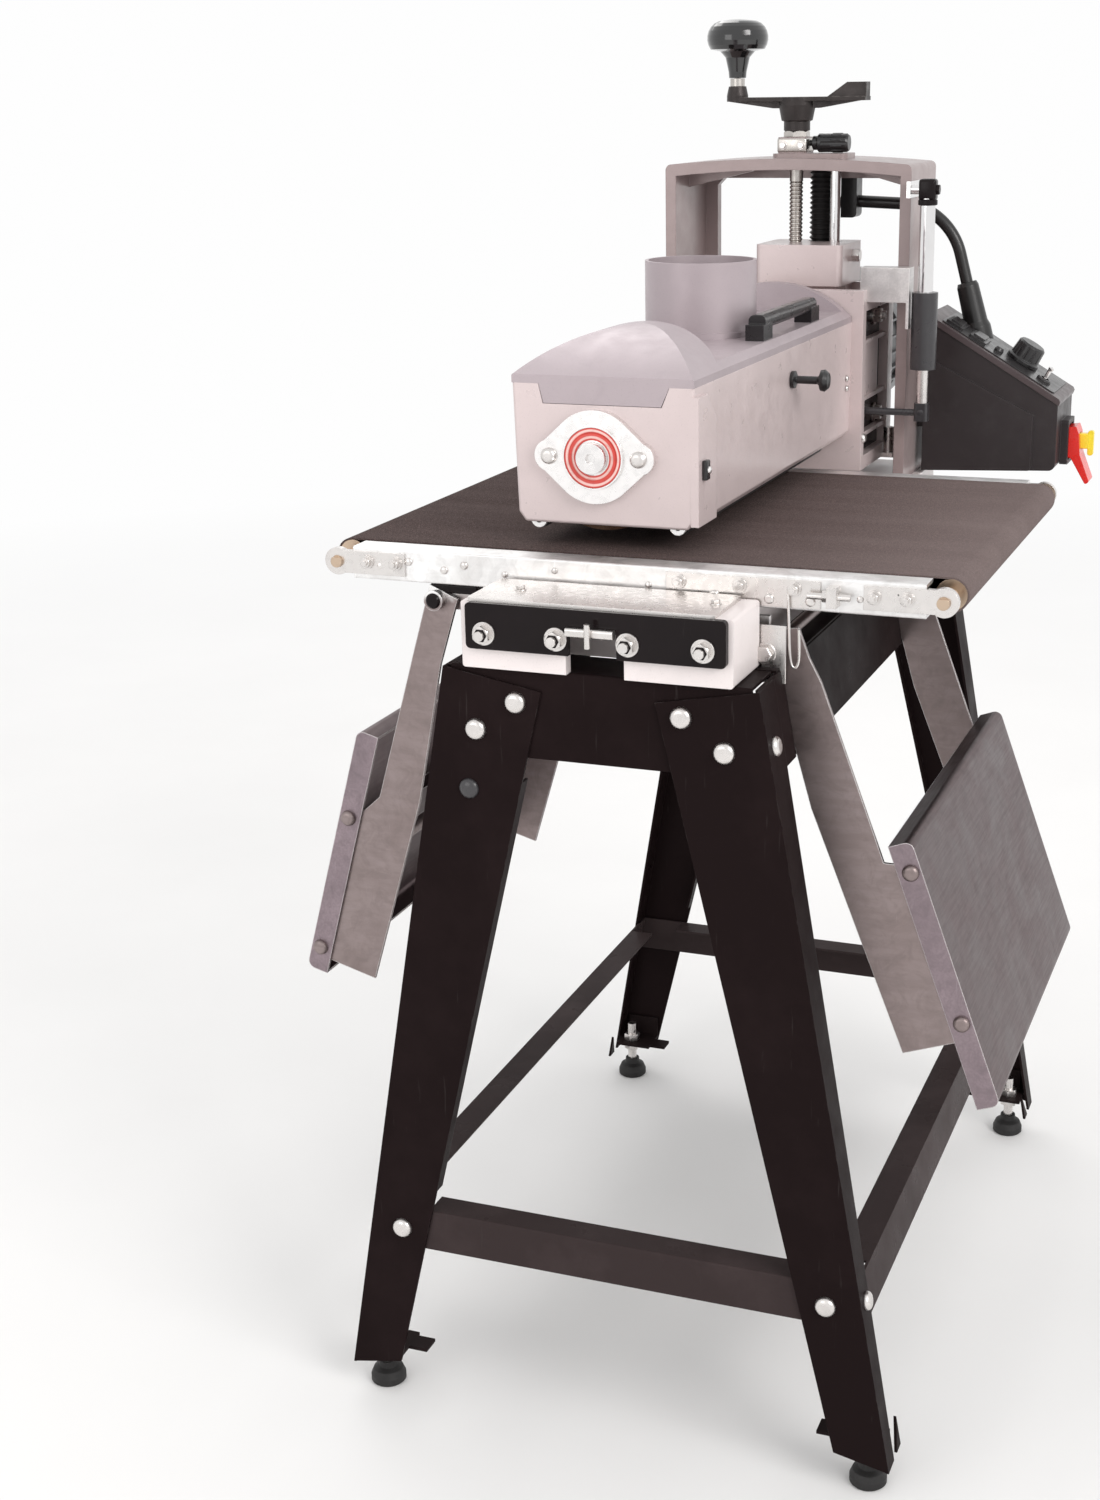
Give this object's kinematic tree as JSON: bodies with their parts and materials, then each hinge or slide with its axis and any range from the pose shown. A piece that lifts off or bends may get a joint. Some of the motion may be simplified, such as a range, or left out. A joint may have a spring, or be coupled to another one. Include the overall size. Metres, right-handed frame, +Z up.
{
  "type": "open-end drum sander",
  "caption": "Open-end drum sander: cantilevered abrasive drum head over a conveyor bed, crank height screw, folding end tables, on a splayed steel stand.",
  "frame": {"origin": "on the floor under the middle of the machine", "axes": "+X along the drum towards the motor end, +Y towards the outfeed side, +Z up"},
  "size_m": [0.9642, 0.6231, 1.1979],
  "materials": {
    "stand_black": "satin black powder coat",
    "foot_black": "satin black",
    "pad_rubber": "moulded rubber",
    "zinc_fasteners": "zinc plated",
    "base_paint": "light grey enamel on cast iron",
    "plate_black": "gloss black",
    "belt_cloth": "abrasive cloth",
    "platen_steel": "ground",
    "zinc_sheet": "zinc plated sheet",
    "roller_steel": "turned",
    "gear_grey": "dark grey",
    "chrome_rod": "hard chrome",
    "bellows_rubber": "rubber",
    "frame_paint": "silver grey enamel on casting",
    "head_paint": "silver grey enamel",
    "cover_paint": "silver grey enamel, smoother",
    "crank_iron": "black oxide casting",
    "screw_steel": "turned",
    "knob_plastic": "phenolic",
    "lever_plastic": "moulded",
    "seal_red": "seal",
    "bearing_steel": "bright plated",
    "drum_wrap": "abrasive wrap",
    "shaft_steel": "ground",
    "handle_plastic": "moulded",
    "motor_paint": "dark grey",
    "roller_rubber": "rubber sleeve",
    "bracket_zinc": "zinc plated sheet",
    "box_charcoal": "textured charcoal",
    "lid_charcoal": "textured charcoal",
    "panel_black": "panel",
    "toggle_steel": "bright",
    "paddle_red": "moulded",
    "key_yellow": "moulded",
    "lead_black": "cable jacket"
  },
  "bodies": {
    "stand": {"legs_open_end": "stand_black", "legs_closed_end": "stand_black", "stand_top_frame": "stand_black", "end_braces": "stand_black", "side_braces": "stand_black", "foot_brackets": "foot_black", "foot_pads": "pad_rubber", "stand_fasteners": "zinc_fasteners", "base_casting": "base_paint", "end_plate": "plate_black", "base_hardware": "zinc_fasteners", "conveyor_belt": "belt_cloth", "bed_platen": "platen_steel", "bed_rails": "zinc_sheet", "bed_fixings": "zinc_fasteners", "conveyor_gearmotor": "gear_grey", "guide_rods": "chrome_rod", "rod_bellows": "bellows_rubber", "arch_frame": "frame_paint", "gas_spring_rod": "chrome_rod", "table_hangers": "zinc_sheet", "control_lid": "lid_charcoal", "panel_plate": "panel_black", "control_box": "box_charcoal", "motor_lead": "lead_black", "lead_glands": "lead_black"},
    "drive_roller": {"drive_roller": "roller_steel"},
    "idler_roller": {"idler_roller": "roller_steel"},
    "crank": {"crank_arm": "crank_iron", "lead_screw": "screw_steel"},
    "crank_knob": {"crank_knob": "knob_plastic"},
    "lock_knob": {"lock_knob": "lever_plastic"},
    "head": {"gas_spring_cylinder": "gear_grey", "head_casting": "head_paint", "bearing_seal": "seal_red", "drum_bearings": "bearing_steel", "head_screws": "zinc_fasteners", "carriage_casting": "frame_paint", "carriage_gib": "plate_black", "carriage_bolts": "zinc_fasteners", "pointer_bracket": "bracket_zinc", "drum_motor": "motor_paint", "motor_covers": "motor_paint"},
    "cover": {"dust_cover": "cover_paint", "cover_handle": "handle_plastic"},
    "latch_knob": {"latch_knob": "lever_plastic"},
    "drum": {"sanding_drum": "drum_wrap", "drum_shaft": "shaft_steel"},
    "pressure_infeed": {"pressure_hanger_infeed": "zinc_sheet"},
    "pressure_roller_infeed": {"pressure_roller_infeed": "roller_rubber"},
    "pressure_outfeed": {"pressure_hanger_outfeed": "zinc_sheet"},
    "pressure_roller_outfeed": {"pressure_roller_outfeed": "roller_rubber"},
    "infeed_table": {"infeed_arms": "zinc_sheet", "infeed_table": "bracket_zinc"},
    "outfeed_table": {"outfeed_arms": "zinc_sheet", "outfeed_table": "bracket_zinc"},
    "speed_knob": {"speed_knob": "lever_plastic"},
    "toggle": {"toggle_lever": "toggle_steel"},
    "paddle": {"power_paddle": "paddle_red"},
    "key": {"safety_key": "key_yellow"}
  },
  "joints": [
    {"name": "crank_turn", "type": "hinge", "parent": "stand", "child": "crank", "pos_m": [0.244, 0.045, 1.098], "axis": [0, 0, 1], "range_deg": [-990, 5400]},
    {"name": "crank_knob_spin", "type": "hinge", "parent": "crank", "child": "crank_knob", "pos_m": [0.244, 0.109, 1.148], "axis": [0, 0, 1], "continuous": true},
    {"name": "height_lock_turn", "type": "hinge", "parent": "stand", "child": "lock_knob", "pos_m": [0.244, 0.015, 1.076], "axis": [0, -1, 0], "range_deg": [-180, 0]},
    {"name": "head_lift", "type": "slide", "parent": "stand", "child": "head", "axis": [0, 0, 1], "range_m": [-0.011, 0.06], "deforming": ["rod_bellows"]},
    {"name": "drum_spin", "type": "hinge", "parent": "head", "child": "drum", "pos_m": [-0.346, 0.045, 0.848], "axis": [1, 0, 0], "continuous": true},
    {"name": "cover_open", "type": "hinge", "parent": "head", "child": "cover", "pos_m": [-0.26, 0.127, 0.897], "axis": [-1, 0, 0], "range_deg": [0, 75]},
    {"name": "cover_latch_turn", "type": "hinge", "parent": "head", "child": "latch_knob", "pos_m": [-0.061, -0.045, 0.876], "axis": [0, -1, 0], "range_deg": [-90, 0]},
    {"name": "pressure_infeed_travel", "type": "slide", "parent": "head", "child": "pressure_infeed", "axis": [0, 0, 1], "range_m": [0, 0.003], "stiffness_N_per_m": 4000, "springref_m": -0.004},
    {"name": "pressure_infeed_spin", "type": "hinge", "parent": "pressure_infeed", "child": "pressure_roller_infeed", "pos_m": [-0.33, -0.021, 0.7918], "axis": [1, 0, 0], "continuous": true},
    {"name": "pressure_outfeed_travel", "type": "slide", "parent": "head", "child": "pressure_outfeed", "axis": [0, 0, 1], "range_m": [0, 0.003], "stiffness_N_per_m": 4000, "springref_m": -0.004},
    {"name": "pressure_outfeed_spin", "type": "hinge", "parent": "pressure_outfeed", "child": "pressure_roller_outfeed", "pos_m": [-0.33, 0.1005, 0.7918], "axis": [1, 0, 0], "continuous": true},
    {"name": "drive_roller_spin", "type": "hinge", "parent": "stand", "child": "drive_roller", "pos_m": [-0.346, 0.26, 0.758], "axis": [1, 0, 0], "continuous": true},
    {"name": "idler_roller_spin", "type": "hinge", "parent": "stand", "child": "idler_roller", "pos_m": [-0.346, -0.252, 0.758], "axis": [1, 0, 0], "continuous": true},
    {"name": "infeed_table_fold", "type": "hinge", "parent": "stand", "child": "infeed_table", "pos_m": [-0.346, -0.112, 0.708], "axis": [-1, 0, 0], "range_deg": [0, 70]},
    {"name": "outfeed_table_fold", "type": "hinge", "parent": "stand", "child": "outfeed_table", "pos_m": [-0.346, 0.173, 0.73], "axis": [1, 0, 0], "range_deg": [0, 74.5]},
    {"name": "speed_knob_turn", "type": "hinge", "parent": "stand", "child": "speed_knob", "pos_m": [0.3, -0.186, 0.8524], "axis": [0, -0.5145, 0.8575], "range_deg": [-135, 135]},
    {"name": "toggle_flip", "type": "hinge", "parent": "stand", "child": "toggle", "pos_m": [0.276, -0.21382, 0.83757], "axis": [1, 0, 0], "range_deg": [-20, 0]},
    {"name": "power_paddle_swing", "type": "hinge", "parent": "stand", "child": "paddle", "pos_m": [0.296, -0.241, 0.787], "axis": [-1, 0, 0], "range_deg": [0, 14]},
    {"name": "safety_key_pull", "type": "slide", "parent": "paddle", "child": "key", "axis": [0, -1, 0], "range_m": [0, 0.025]}
  ],
  "couplings": [
    {"joint": "head_lift", "follows": "crank_turn", "m_per_rad": 0.00063662},
    {"joint": "idler_roller_spin", "follows": "drive_roller_spin", "ratio": 1}
  ]
}
